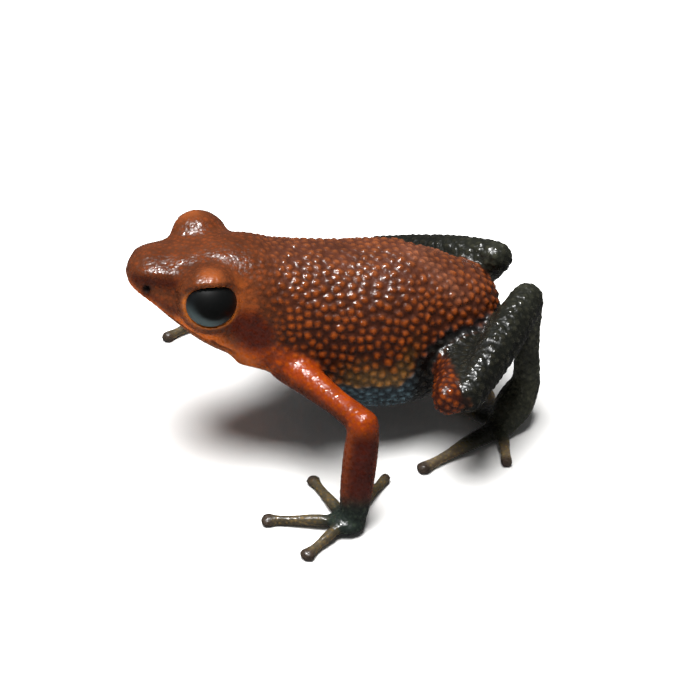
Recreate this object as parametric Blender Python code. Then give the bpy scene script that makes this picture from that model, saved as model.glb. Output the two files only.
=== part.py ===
"""Granular poison frog, an adult 20 mm long from snout to vent, as a still, life-size model.

It sits as a dart frog does: forearms upright, knees folded wide beside the flanks, heels raised behind the rump.
The frog faces -Y, its left side is +X and the floor is Z = 0. Sizes and places are in millimetres from a point
on the floor under the middle of the trunk, and become metres when a mesh is made. At the end the whole frog is
moved so that the origin lies on the floor at the middle of its bounding box.
"""

import math

import bmesh
import bpy
import numpy as np
from mathutils import Matrix, Vector

MM = 0.001
UP = np.array([0.0, 0.0, 1.0])
FORWARD = np.array([0.0, -1.0, 0.0])

# Spacing between nodes that touch
GAP = 0.28
SOCKET_GAP = 0.14
MOUTH_GAP = 0.2

# Trunk and head, from the rump to the snout: y, x, z of the widest level, half width, height above and depth
# below that level, squareness above and below, and how much the section narrows towards its top
TRUNK = [
    (8.30, 0.00, 5.60, 2.00, 1.75, 1.75, 2.1, 2.0, 0.05),
    (7.20, 0.00, 5.20, 2.55, 2.40, 2.35, 2.1, 2.0, 0.10),
    (5.80, 0.00, 4.95, 3.15, 3.25, 3.05, 2.1, 2.0, 0.12),
    (4.30, 0.00, 4.80, 3.72, 4.08, 3.45, 2.2, 2.1, 0.12),
    (3.30, 0.00, 4.78, 3.98, 4.52, 3.60, 2.25, 2.1, 0.12),
    (2.20, 0.00, 4.82, 4.17, 4.60, 3.67, 2.3, 2.1, 0.12),
    (0.40, 0.00, 5.15, 4.15, 4.45, 3.65, 2.3, 2.1, 0.12),
    (-1.40, 0.00, 5.80, 3.85, 4.20, 3.35, 2.3, 2.1, 0.12),
    (-3.00, 0.00, 6.50, 3.50, 3.92, 2.98, 2.3, 2.0, 0.12),
    (-4.40, -0.05, 7.05, 3.30, 3.87, 2.55, 2.4, 1.85, 0.14),
    (-5.70, -0.22, 7.50, 3.25, 3.52, 2.28, 2.5, 1.7, 0.22),
    (-7.00, -0.42, 8.10, 3.00, 2.72, 2.04, 2.7, 1.65, 0.28),
    (-8.20, -0.62, 8.75, 2.42, 1.92, 1.60, 2.7, 1.6, 0.26),
    (-9.20, -0.80, 9.25, 1.75, 1.34, 1.06, 2.6, 1.8, 0.20),
    (-10.30, -1.00, 9.62, 1.30, 0.90, 0.80, 2.4, 1.8, 0.15),
]
RUMP_CAP = 1.5
SNOUT_CAP = 1.3
SNOUT_FULLNESS = 2.4

# The head meets the trunk at a plane just behind the eardrums
NECK = (0.0, -4.05, 7.0)
NECK_LEAN = -0.08

# Eyes: each looks out to its side, a little forward and up
EYE_RADIUS = 1.36
EYES = {"left": (2.05, -6.76, 9.36), "right": (-2.6, -6.47, 9.5)}
EYE_GAZE = {"left": (0.97, -0.06, 0.18), "right": (-0.94, -0.28, 0.18)}

# Lids: a dome over each eye and the bowl that opens it, as half sizes along the gaze, forward and upward
LID_DOME = (1.66, 1.64, 1.72)
LID_BOWL = (1.32, 2.60, 1.36)
LID_BOWL_PLACE = 1.70

# Mouth: a cut across the head, which is turned a little to the right. It falls back from under the snout to a
# corner behind the eyes. The front and the corner are given for a head that looks straight ahead
HEAD_TURN = math.radians(-9)
HEAD_PIVOT = (-0.42, -7.0)
MOUTH_FRONT = (-10.2, 9.15)
MOUTH_CORNER_Y = -5.2
MOUTH_SLOPE = math.radians(26.5)
LIP_OVERHANG = 0.1

NOSTRIL_RADIUS = 0.2
NOSTRILS = {"left": (0.74, -9.66, 9.5), "right": (-2.37, -9.15, 9.5)}

# Eardrums: shallow round dishes low behind the eyes, as half sizes across, forward and upward
EARDRUM = (0.16, 0.52, 0.52)
EARDRUMS = {"left": (3.05, -4.95, 8.0), "right": (-3.25, -4.75, 8.0)}

# Arms: shoulder, elbow and wrist, with the thickness of each limb from root to end
ARMS = {
    "left": {"shoulder": (2.9, -3.15, 5.55), "elbow": (7.9, -0.43, 5.02), "wrist": (9.25, -1.25, 0.95)},
    "right": {"shoulder": (-2.9, -3.2, 5.6), "elbow": (-7.4, -1.3, 4.3), "wrist": (-9.3, -3.3, 0.95)},
}
UPPER_ARM_RADII = (0.95, 0.76, 0.64, 0.72)
FOREARM_RADII = (0.76, 0.84, 0.82, 0.72)

# Hands: the middle of the palm, its half sizes, then the tip and the half width of the disc of each finger
PALMS = {"left": (9.40, -1.63, 0.44), "right": (-9.3, -4.0, 0.44)}
PALM_RADII = (0.95, 0.95, 0.5)
FINGERS = {
    "left": [((6.18, 1.10), 0.28), ((5.50, -2.50), 0.36), ((8.13, -5.46), 0.44), ((11.32, -4.12), 0.42)],
    "right": [((-6.6, -1.9), 0.26), ((-7.5, -4.4), 0.34), ((-7.86, -7.3), 0.33), ((-10.6, -6.3), 0.40)],
}
FINGER_RADIUS = 0.26
FINGER_ROOT_RADII = (0.32, 0.34, 0.36, 0.34)

# Legs: hip, knee at the end of the thigh, shin where the shank starts beside it, heel, ankle at the end of the
# tarsus, and ball of the foot
LEGS = {
    "left": {
        "hip": (1.5, 6.6, 4.2),
        "knee": (6.75, 4.08, 5.02),
        "shin": (6.75, 4.99, 4.98),
        "heel": (1.5, 9.4, 6.46),
        "ankle": (2.35, 9.25, 1.95),
        "ball": (3.72, 7.62, 0.45),
    },
    "right": {
        "hip": (-1.5, 6.3, 4.0),
        "knee": (-6.3, 2.8, 4.8),
        "shin": (-6.3, 3.7, 4.95),
        "heel": (-1.6, 8.6, 7.0),
        "ankle": (-4.4, 7.0, 1.9),
        "ball": (-5.4, 5.3, 0.45),
    },
}
THIGH_RADII = (1.40, 1.38, 1.12, 0.82)
SHANK_RADII = (0.82, 0.98, 1.02, 0.86)
TARSUS_RADII = (0.84, 0.68, 0.64, 0.72)
FOOT_SIZES = ((0.76, 0.74), (1.02, 0.74), (0.74, 0.52))
TOES = {
    "left": [((0.4, 7.8), 0.26), ((0.55, 6.8), 0.30), ((1.1, 5.8), 0.33), ((5.93, 2.93), 0.40), ((6.42, 7.2), 0.30)],
    "right": [((-3.4, 4.8), 0.26), ((-3.4, 3.7), 0.30), ((-4.3, 2.7), 0.33), ((-7.6, 1.2), 0.37), ((-8.5, 4.9), 0.27)],
}
TOE_RADIUS = 0.28
TOE_ROOT_RADII = (0.32, 0.36, 0.42, 0.66, 0.36)

# Heights of the middle line of each digit at its root and at its disc
DIGIT_ROOT_HEIGHT = 0.42
DIGIT_TIP_HEIGHT = 0.2
DISC_HALF_HEIGHT = 0.27

# Granules: fewer and coarser than the real ones. On the trunk they cover the back and flanks, down to where
# the skin faces this far below level
TRUNK_GRANULE = 0.13
LEG_GRANULE = 0.11
BELLY_FACING = -0.5

COLOURS = {
    "back_skin": ("#8a3418", 0.38),
    "arm_skin": ("#c8480f", 0.30),
    "hand_skin": ("#4b4a3a", 0.35),
    "leg_skin": ("#1d211e", 0.35),
    "eye": ("#0e1214", 0.05),
}


def clear_scene():
    for old in list(bpy.data.objects):
        bpy.data.objects.remove(old)


def collection(name):
    made = bpy.data.collections.new(name)
    bpy.context.scene.collection.children.link(made)
    return made


def skin_materials():
    """One Principled material for each kind of skin, and one for the eyes."""
    made = {}
    for name, (hex_colour, roughness) in COLOURS.items():
        material = bpy.data.materials.new(name)
        material.use_nodes = True
        shader = material.node_tree.nodes["Principled BSDF"]
        srgb = [int(hex_colour[i : i + 2], 16) / 255 for i in (1, 3, 5)]
        linear = [c / 12.92 if c <= 0.04045 else ((c + 0.055) / 1.055) ** 2.4 for c in srgb]
        shader.inputs["Base Color"].default_value = (*linear, 1.0)
        shader.inputs["Roughness"].default_value = roughness
        shader.inputs["Metallic"].default_value = 0.0
        made[name] = material
    return made


def unit(vectors):
    vectors = np.asarray(vectors, float)
    return vectors / np.linalg.norm(vectors, axis=-1, keepdims=True)


def flow(places, knots, values):
    """A smooth curve through the values at the knots, read at each of the places."""
    knots = np.asarray(knots, float)
    values = np.asarray(values, float)
    slopes = np.gradient(values, knots, axis=0)
    i = np.clip(np.searchsorted(knots, places) - 1, 0, len(knots) - 2)
    width = knots[i + 1] - knots[i]
    t = (places - knots[i]) / width
    if values.ndim > 1:
        t, width = t[:, None], width[:, None]
    return (
        (2 * t**3 - 3 * t**2 + 1) * values[i]
        + (t**3 - 2 * t**2 + t) * width * slopes[i]
        + (3 * t**2 - 2 * t**3) * values[i + 1]
        + (t**3 - t**2) * width * slopes[i + 1]
    )


def round_end(distance, length, fullness=2.0):
    """1 away from an end, falling to 0 at it as a rounded end does."""
    share = np.clip(distance / length, 0, 1)
    return (1 - (1 - share) ** fullness) ** (1 / fullness)


def sphere_grid(around, along, staggered=False):
    """A closed sphere mesh, with each vertex's place along it from 0 to 1 and its angle round it.

    Staggered, each ring is turned by half a face from the one before."""
    bm = bmesh.new()
    bmesh.ops.create_uvsphere(bm, u_segments=around, v_segments=along, radius=1)
    points = np.array([v.co for v in bm.verts])
    place = np.arccos(np.clip(points[:, 2], -1, 1)) / math.pi
    angle = np.arctan2(points[:, 1], points[:, 0])
    if staggered:
        angle = angle + place * along * math.pi / around
    return bm, place, angle


def raise_granules(obj, height, lowest_facing=-1.0):
    """Raises a low pointed granule on each four-sided face that doesn't face too far down."""
    bm = bmesh.new()
    bm.from_mesh(obj.data)
    faces = [f for f in bm.faces if len(f.verts) == 4 and f.normal.z >= lowest_facing]
    bmesh.ops.poke(bm, faces=faces, offset=height * MM)
    bm.to_mesh(obj.data)
    bm.free()


def object_from(bm, points, name, group, material=None):
    """Moves the mesh's vertices to the points, in millimetres, and makes a named object of it."""
    for vert, point in zip(bm.verts, points):
        vert.co = Vector(point) * MM
    bm.normal_update()
    bmesh.ops.recalc_face_normals(bm, faces=bm.faces)
    mesh = bpy.data.meshes.new(name)
    bm.to_mesh(mesh)
    bm.free()
    mesh.shade_smooth()
    made = bpy.data.objects.new(name, mesh)
    group.objects.link(made)
    if material is None:
        made.hide_render = True
        made.display_type = "WIRE"
    else:
        mesh.materials.append(material)
    return made


def trunk_points(place, angle, grow):
    """Points on the surface of trunk and head. grow moves the surface outwards."""
    rows = np.array(TRUNK)
    knots = -rows[:, 0]
    first, last = knots[0] - grow, knots[-1] + grow
    forward = first + (last - first) * (1 - np.cos(math.pi * place)) / 2
    within = np.clip(forward, knots[0], knots[-1])
    x, z, wide, above, below, square_up, square_down, taper = flow(within, knots, rows[:, 1:]).T
    ends = round_end(forward - first, RUMP_CAP + grow) * round_end(last - forward, SNOUT_CAP + grow, SNOUT_FULLNESS)
    across, rise = np.sin(angle), np.cos(angle)
    square = np.where(rise > 0, square_up, square_down)
    height = np.where(rise > 0, above, below) + grow
    side = np.sign(across) * np.abs(across) ** (2 / square)
    lift = np.sign(rise) * np.abs(rise) ** (2 / square)
    side = side * (1 - taper * np.clip(lift, 0, 1))
    yaw = flow(within, knots, np.gradient(rows[:, 1], knots))
    reach = (wide + grow) * side * ends
    return np.stack([x + reach, yaw * reach - forward, z + height * lift * ends], 1)


def trunk(name, group, material=None, around=36, along=48, grow=0.0, staggered=False):
    bm, place, angle = sphere_grid(around, along, staggered)
    return object_from(bm, trunk_points(place, angle, grow), name, group, material)


def limb(name, group, stations, material=None, around=12, along=16, hint=UP, grow=0.0, granules=0.0):
    """A round-ended limb through stations of (middle, half width, half height), with granules of some height."""
    middles = np.array([middle for middle, _, _ in stations], float)
    sizes = np.array([[wide, high] for _, wide, high in stations], float) + grow - granules / 3
    steps = np.linalg.norm(np.diff(middles, axis=0), axis=1)
    knots = np.concatenate([[0], np.cumsum(steps)])
    bm, place, angle = sphere_grid(around, along, granules > 0)
    start, end = -sizes[0].mean(), knots[-1] + sizes[-1].mean()
    run = start + (end - start) * (place - 0.13 * np.sin(2 * math.pi * place))
    within = np.clip(run, 0, knots[-1])
    step = knots[-1] / 50
    ahead = unit(
        flow(np.clip(within + step, 0, knots[-1]), knots, middles)
        - flow(np.clip(within - step, 0, knots[-1]), knots, middles)
    )
    centre = flow(within, knots, middles) + ahead * (run - within)[:, None]
    across = unit(np.cross(ahead, hint))
    rise = np.cross(across, ahead)
    ends = round_end(run - start, -start) * round_end(end - run, end - knots[-1])
    radii = flow(within, knots, sizes) * ends[:, None]
    surface = (
        centre
        + across * (radii[:, 0] * np.cos(angle))[:, None]
        + rise * (radii[:, 1] * np.sin(angle))[:, None]
    )
    made = object_from(bm, surface, name, group, material)
    if granules > 0:
        raise_granules(made, granules)
    return made


def straight(start, end, sizes):
    """Evenly spaced stations of a limb from start to end, each size a radius or (half width, half height)."""
    places = np.linspace(start, end, len(sizes))
    return [(place, *np.broadcast_to(size, 2)) for place, size in zip(places, sizes)]


def ball(name, group, centre, radii, material=None, axes=None, around=16, along=10):
    """An ellipsoid. axes gives the directions of its three half sizes, where they are turned."""
    bm = bmesh.new()
    bmesh.ops.create_uvsphere(bm, u_segments=around, v_segments=along, radius=1)
    points = np.array([v.co for v in bm.verts]) * np.array(radii)
    if axes is not None:
        points = points @ np.array(axes)
    return object_from(bm, points + np.array(centre), name, group, material)


def keep_side(obj, point, normal):
    """Cuts the object by a plane, keeps the side that the normal points to, and closes the cut."""
    bm = bmesh.new()
    bm.from_mesh(obj.data)
    bmesh.ops.bisect_plane(
        bm,
        geom=bm.verts[:] + bm.edges[:] + bm.faces[:],
        dist=1e-7,
        plane_co=Vector(point) * MM,
        plane_no=Vector(normal),
        clear_inner=True,
    )
    bmesh.ops.holes_fill(bm, edges=[e for e in bm.edges if e.is_boundary], sides=0)
    bmesh.ops.triangulate(bm, faces=[f for f in bm.faces if len(f.verts) > 4])
    bm.normal_update()
    bmesh.ops.recalc_face_normals(bm, faces=bm.faces)
    bm.to_mesh(obj.data)
    bm.free()


def part_at(first, second, point, normal, gap=GAP):
    """Parts two objects at a plane: first keeps the normal's side, second the other, with a gap between."""
    point, normal = np.array(point, float), unit(normal)
    keep_side(first, point + normal * gap / 2, normal)
    keep_side(second, point - normal * gap / 2, -normal)


def boolean(obj, cutters, operation):
    """Cuts the object by the cutters, or joins them to it, and keeps the largest closed surface."""
    for cutter in cutters:
        modifier = obj.modifiers.new(cutter.name, "BOOLEAN")
        modifier.operation = operation
        modifier.object = cutter
        modifier.solver = "EXACT"
    graph = bpy.context.evaluated_depsgraph_get()
    made = bpy.data.meshes.new_from_object(obj.evaluated_get(graph))
    obj.modifiers.clear()
    old, name = obj.data, obj.data.name
    obj.data = made
    bpy.data.meshes.remove(old)
    made.name = name
    keep_largest(made)


def keep_largest(mesh):
    """Keeps only the mesh's largest closed surface."""
    bm = bmesh.new()
    bm.from_mesh(mesh)
    unseen, pieces = set(bm.verts), []
    while unseen:
        piece, edge = set(), [next(iter(unseen))]
        while edge:
            vert = edge.pop()
            if vert not in piece:
                piece.add(vert)
                edge.extend(e.other_vert(vert) for e in vert.link_edges)
        unseen -= piece
        pieces.append(piece)
    largest = max(pieces, key=len)
    bmesh.ops.delete(bm, geom=[v for v in bm.verts if v not in largest], context="VERTS")
    bm.to_mesh(mesh)
    bm.free()


def make_head_and_trunk(frog, cutters, skins):
    torso = trunk("torso", frog, skins["back_skin"], around=40, grow=-TRUNK_GRANULE / 3, staggered=True)
    raise_granules(torso, TRUNK_GRANULE, BELLY_FACING)
    head = trunk("head", frog, skins["back_skin"])
    jaw = trunk("lower_jaw", frog, skins["back_skin"], grow=-LIP_OVERHANG)
    part_at(torso, head, NECK, (0, 1, NECK_LEAN))
    make_eyes(head, frog, cutters, skins)
    make_mouth(head, jaw, cutters)
    pits = [
        ball(f"nostril_{side}", cutters, place, (NOSTRIL_RADIUS,) * 3, around=8, along=6)
        for side, place in NOSTRILS.items()
    ]
    dishes = [
        ball(f"eardrum_{side}", cutters, place, EARDRUM, around=14, along=8)
        for side, place in EARDRUMS.items()
    ]
    boolean(head, pits + dishes, "DIFFERENCE")


def make_eyes(head, frog, cutters, skins):
    """A ball of an eye in a socket, under a dome of lid with a bowl that opens it to the side."""
    domes, openings = [], []
    for side, centre in EYES.items():
        gaze = unit(EYE_GAZE[side])
        level = unit(np.cross(gaze, UP))
        axes = (gaze, level, np.cross(level, gaze))
        socket = (EYE_RADIUS + SOCKET_GAP,) * 3
        bowl_place = np.array(centre) + gaze * LID_BOWL_PLACE
        domes.append(ball(f"lid_{side}", cutters, centre, LID_DOME, None, axes, 20, 12))
        openings.append(ball(f"socket_{side}", cutters, centre, socket, None, axes, 20, 12))
        openings.append(ball(f"lid_bowl_{side}", cutters, bowl_place, LID_BOWL, None, axes, 20, 12))
        ball(f"eye_{side}", frog, centre, (EYE_RADIUS,) * 3, skins["eye"], axes, 18, 12)
    boolean(head, domes, "UNION")
    boolean(head, openings, "DIFFERENCE")


def wide_block(name, group, outline):
    """A closed block across the whole head and turned with it, from a flat outline of (y, z) corners."""
    half = 9.0
    bm = bmesh.new()
    face = bm.faces.new([bm.verts.new(Vector((HEAD_PIVOT[0] - half, y, z)) * MM) for y, z in outline])
    sides = bmesh.ops.extrude_face_region(bm, geom=[face])["geom"]
    moved = [item for item in sides if isinstance(item, bmesh.types.BMVert)]
    bmesh.ops.translate(bm, vec=Vector((2 * half, 0, 0)) * MM, verts=moved)
    pivot = Vector((*HEAD_PIVOT, 0)) * MM
    bmesh.ops.rotate(bm, cent=pivot, matrix=Matrix.Rotation(HEAD_TURN, 3, "Z"), verts=bm.verts)
    return object_from(bm, [v.co / MM for v in bm.verts], name, group)


def make_mouth(head, jaw, cutters):
    """Parts the lower jaw from the head along the mouth, and behind the corners of the mouth."""
    front_y, front_z = MOUTH_FRONT
    slope = math.tan(MOUTH_SLOPE)
    reach = 3.0
    below = -2.0

    def outline(grow):
        return [
            (front_y - reach, front_z + reach * slope + grow),
            (MOUTH_CORNER_Y + grow, front_z - (MOUTH_CORNER_Y - front_y) * slope + grow),
            (MOUTH_CORNER_Y + grow, below),
            (front_y - reach, below),
        ]

    boolean(jaw, [wide_block("jaw_space", cutters, outline(-MOUTH_GAP / 2))], "INTERSECT")
    boolean(head, [wide_block("mouth_space", cutters, outline(MOUTH_GAP / 2))], "DIFFERENCE")


def digits(kind, side, group, material, root, tips, radius, root_radii, palm_space):
    """The fingers or toes that spread from one root, each cut clear of the palm and of its neighbours."""
    root = np.array([root[0], root[1], DIGIT_ROOT_HEIGHT])
    made, runs = [], []
    for number, ((tip, disc), root_radius) in enumerate(zip(tips, root_radii), 1):
        tip = np.array([*tip, DIGIT_TIP_HEIGHT])
        made.append(digit(f"{kind}_{number}_{side}", group, material, root, tip, disc, radius, root_radius))
        runs.append(unit(tip - root))
    for first, second, run, next_run in zip(made, made[1:], runs, runs[1:]):
        part_at(first, second, root, run - next_run)
    for each in made:
        boolean(each, [palm_space], "DIFFERENCE")


def digit(name, group, material, root, tip, disc, radius, root_radius):
    """A finger or toe that arches from its root to a disc lying on the floor."""
    run = unit(tip - root)
    length = np.linalg.norm(tip - root)
    stations = [
        (root, root_radius, radius * 1.2),
        (root + run * length * 0.42 + (0, 0, 0.05), (radius + root_radius) / 2, radius * 1.05),
        (root + run * length * 0.72, radius * 0.92, radius * 0.92),
        (tip - run * disc * 1.35, radius, radius * 0.95),
        (tip - run * disc * 0.4, disc, DISC_HALF_HEIGHT),
    ]
    return limb(name, group, stations, material, around=10, along=12)


def make_arm(side, frog, cutters, skins, body_space):
    shoulder, elbow, wrist = (np.array(ARMS[side][joint]) for joint in ("shoulder", "elbow", "wrist"))
    skin, dark = skins["arm_skin"], skins["hand_skin"]
    upper = limb(f"upper_arm_{side}", frog, straight(shoulder, elbow, UPPER_ARM_RADII), skin)
    fore = limb(f"forearm_{side}", frog, straight(elbow, wrist, FOREARM_RADII), skin, hint=FORWARD)
    palm = ball(f"hand_{side}", frog, PALMS[side], PALM_RADII, dark)
    part_at(upper, fore, elbow, unit(shoulder - elbow) - unit(wrist - elbow))
    part_at(fore, palm, wrist + (0, 0, 0.1), (0, 0, 1))
    boolean(upper, [body_space], "DIFFERENCE")
    palm_space = ball(f"palm_space_{side}", cutters, PALMS[side], np.array(PALM_RADII) + GAP)
    digits("finger", side, frog, dark, PALMS[side], FINGERS[side], FINGER_RADIUS, FINGER_ROOT_RADII, palm_space)


def make_leg(side, frog, cutters, skins, body_space):
    hip, knee, shin, heel, ankle, ball_of_foot = (
        np.array(LEGS[side][joint]) for joint in ("hip", "knee", "shin", "heel", "ankle", "ball")
    )
    dark = skins["leg_skin"]
    sole = straight(ankle, ball_of_foot, FOOT_SIZES)
    thigh = limb(f"thigh_{side}", frog, straight(hip, knee, THIGH_RADII), dark, 16, granules=LEG_GRANULE)
    shank = limb(f"shank_{side}", frog, straight(shin, heel, SHANK_RADII), dark, 16, granules=LEG_GRANULE)
    tarsus = limb(f"tarsus_{side}", frog, straight(heel, ankle, TARSUS_RADII), dark, hint=FORWARD)
    foot = limb(f"foot_{side}", frog, sole, dark)
    part_at(thigh, shank, (knee + shin) / 2, unit(hip - knee) - unit(heel - shin))
    part_at(shank, tarsus, heel, unit(shin - heel) - unit(ankle - heel))
    part_at(tarsus, foot, ankle, unit(heel - ankle) - unit(ball_of_foot - ankle))
    boolean(thigh, [body_space], "DIFFERENCE")
    boolean(shank, [body_space], "DIFFERENCE")
    foot_space = limb(f"foot_space_{side}", cutters, sole, grow=GAP)
    digits("toe", side, frog, dark, ball_of_foot, TOES[side], TOE_RADIUS, TOE_ROOT_RADII, foot_space)


def rest_on_floor(frog):
    """Flattens what reaches below the floor, and puts the origin under the middle of the frog's box."""
    for obj in frog.objects:
        if min(v.co.z for v in obj.data.vertices) < 0:
            keep_side(obj, (0, 0, 0), (0, 0, 1))
    corners = np.array([v.co for obj in frog.objects for v in obj.data.vertices])
    middle = (corners.min(0) + corners.max(0)) / 2
    to_origin = Matrix.Translation((-middle[0], -middle[1], -corners.min(0)[2]))
    for obj in frog.objects:
        obj.data.transform(to_origin)


def main():
    clear_scene()
    frog = collection("granular_poison_frog")
    cutters = collection("cutters")
    skins = skin_materials()
    make_head_and_trunk(frog, cutters, skins)
    body_space = trunk("body_space", cutters, grow=GAP)
    for side in ("left", "right"):
        make_arm(side, frog, cutters, skins, body_space)
        make_leg(side, frog, cutters, skins, body_space)
    rest_on_floor(frog)


main()
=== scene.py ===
"""Looks of the granular poison frog: one skin over all its flesh, two wet eyes, and a pale floor.

The skin is lofted from the same named places as the solids, in millimetres from a point on the floor under the middle
of the trunk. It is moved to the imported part's frame when it is made. The frog faces -Y and its left side is +X.
"""

import math

import bmesh
import bpy
import numpy as np
from bpy.props import FloatProperty, FloatVectorProperty, IntProperty, PointerProperty
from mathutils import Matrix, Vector, noise
from mathutils.kdtree import KDTree


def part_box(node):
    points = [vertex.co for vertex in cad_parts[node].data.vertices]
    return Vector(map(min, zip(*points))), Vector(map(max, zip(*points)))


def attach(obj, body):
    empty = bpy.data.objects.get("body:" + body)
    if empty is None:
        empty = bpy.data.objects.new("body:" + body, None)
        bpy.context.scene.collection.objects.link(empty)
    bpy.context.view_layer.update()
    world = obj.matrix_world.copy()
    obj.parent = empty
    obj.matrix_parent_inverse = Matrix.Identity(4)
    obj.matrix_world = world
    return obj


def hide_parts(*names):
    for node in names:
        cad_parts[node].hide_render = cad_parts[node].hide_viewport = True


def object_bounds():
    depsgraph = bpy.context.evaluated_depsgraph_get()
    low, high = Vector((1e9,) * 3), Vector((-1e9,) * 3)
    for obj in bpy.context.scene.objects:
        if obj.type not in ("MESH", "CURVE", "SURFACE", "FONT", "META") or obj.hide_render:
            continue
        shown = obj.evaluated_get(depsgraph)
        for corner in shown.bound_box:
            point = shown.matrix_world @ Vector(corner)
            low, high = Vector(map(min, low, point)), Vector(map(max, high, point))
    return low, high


bl_info = {
    "name": "Granular poison frog",
    "version": (1, 0, 0),
    "blender": (4, 5, 0),
    "location": "3D View > Sidebar > Frog",
    "description": "Builds the skin, eyes and stage of a life-size granular poison frog",
    "category": "Add Mesh",
}

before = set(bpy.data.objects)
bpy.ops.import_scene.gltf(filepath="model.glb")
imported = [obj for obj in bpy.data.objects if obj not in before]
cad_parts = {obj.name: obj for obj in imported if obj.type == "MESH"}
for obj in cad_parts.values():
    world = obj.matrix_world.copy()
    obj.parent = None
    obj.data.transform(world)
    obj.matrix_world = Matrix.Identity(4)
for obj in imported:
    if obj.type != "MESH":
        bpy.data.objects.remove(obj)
CAD_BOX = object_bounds()

MM = 0.001
UP = np.array([0.0, 0.0, 1.0])
FORWARD = np.array([0.0, -1.0, 0.0])
SIDES = ("left", "right")

# Trunk and head, from the rump to the snout: y, x, z of the widest level, half width, height above and depth
# below that level, squareness above and below, and how much the section narrows towards its top
TRUNK = [
    (8.30, 0.00, 5.60, 2.00, 1.75, 1.75, 2.1, 2.0, 0.05),
    (7.20, 0.00, 5.20, 2.55, 2.40, 2.35, 2.1, 2.0, 0.10),
    (5.80, 0.00, 4.95, 3.15, 3.25, 3.05, 2.1, 2.0, 0.12),
    (4.30, 0.00, 4.80, 3.72, 4.08, 3.45, 2.2, 2.1, 0.12),
    (3.30, 0.00, 4.78, 3.98, 4.52, 3.60, 2.25, 2.1, 0.12),
    (2.20, 0.00, 4.82, 4.17, 4.60, 3.67, 2.3, 2.1, 0.12),
    (0.40, 0.00, 5.15, 4.15, 4.45, 3.65, 2.3, 2.1, 0.12),
    (-1.40, 0.00, 5.80, 3.85, 4.20, 3.35, 2.3, 2.1, 0.12),
    (-3.00, 0.00, 6.50, 3.50, 3.92, 2.98, 2.3, 2.0, 0.12),
    (-4.40, -0.05, 7.05, 3.30, 3.87, 2.55, 2.4, 1.85, 0.14),
    (-5.70, -0.22, 7.50, 3.25, 3.52, 2.28, 2.5, 1.7, 0.22),
    (-7.00, -0.42, 8.10, 3.00, 2.72, 2.04, 2.7, 1.65, 0.28),
    (-8.20, -0.62, 8.75, 2.42, 1.92, 1.60, 2.7, 1.6, 0.26),
    (-9.20, -0.80, 9.25, 1.75, 1.34, 1.06, 2.6, 1.8, 0.20),
    (-10.30, -1.00, 9.62, 1.30, 0.90, 0.80, 2.4, 1.8, 0.15),
]
# How long the rounded ends of the trunk are, and how full the snout's is
RUMP_CAP = 1.5
SNOUT_CAP = 1.3
SNOUT_FULLNESS = 2.4

# Eyes: radius, middle and direction of gaze. A lid is a dome round the eye, opened by a bowl that stands before it
EYE_RADIUS = 1.36
EYES = {"left": (2.05, -6.76, 9.36), "right": (-2.6, -6.47, 9.5)}
EYE_GAZE = {"left": (0.97, -0.06, 0.18), "right": (-0.94, -0.28, 0.18)}
LID_DOME = (1.66, 1.64, 1.72)
LID_BOWL = (1.32, 2.60, 1.36)
LID_BOWL_PLACE = 1.70
LID_BOWL_SQUARENESS = 4.0

# The lid's rim: how far its dome is drawn in, its thickness at the eye, and how much it thickens away from the eye
# and over the brow
LID_REACH = 2.2
LID_RIM = 0.09
LID_FLARE = 0.5
BROW_FLARE = 0.35

# The head's turn about the upright through its pivot, the mouth's front end (y, z), corner and slope
HEAD_TURN = math.radians(-9)
HEAD_PIVOT = (-0.42, -7.0)
MOUTH_FRONT = (-10.2, 9.15)
MOUTH_CORNER_Y = -5.2
MOUTH_SLOPE = math.radians(26.5)
# Folds between the corners of the mouth and the arms, left side: their two ends and their radius
FOLD = ((2.6, -5.2, 6.5), (2.9, -3.5, 5.9))
FOLD_RADIUS = 0.75
# Middles of the nostrils and eardrums
NOSTRILS = {"left": (0.74, -9.66, 9.5), "right": (-2.37, -9.15, 9.5)}
EARDRUMS = {"left": (3.05, -4.95, 8.0), "right": (-3.25, -4.75, 8.0)}

# Joints of the arms and legs, and the radii of each limb from its root to its end. Each finger and toe has the
# x, y of its disc and the disc's radius, from the first to the last
ARMS = {
    "left": {"shoulder": (2.9, -3.15, 5.55), "elbow": (7.9, -0.43, 5.02), "wrist": (9.25, -1.25, 0.95)},
    "right": {"shoulder": (-2.9, -3.2, 5.6), "elbow": (-7.4, -1.3, 4.3), "wrist": (-9.3, -3.3, 0.95)},
}
UPPER_ARM_RADII = (0.95, 0.76, 0.64, 0.72)
FOREARM_RADII = (0.76, 0.84, 0.82, 0.72)
PALMS = {"left": (9.40, -1.63, 0.44), "right": (-9.3, -4.0, 0.44)}
PALM_RADII = (0.95, 0.95, 0.5)
FINGERS = {
    "left": [((6.18, 1.10), 0.28), ((5.50, -2.50), 0.36), ((8.13, -5.46), 0.44), ((11.32, -4.12), 0.42)],
    "right": [((-6.6, -1.9), 0.26), ((-7.5, -4.4), 0.34), ((-7.86, -7.3), 0.33), ((-10.6, -6.3), 0.40)],
}
FINGER_RADIUS = 0.26
FINGER_ROOT_RADII = (0.32, 0.34, 0.36, 0.34)

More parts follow.
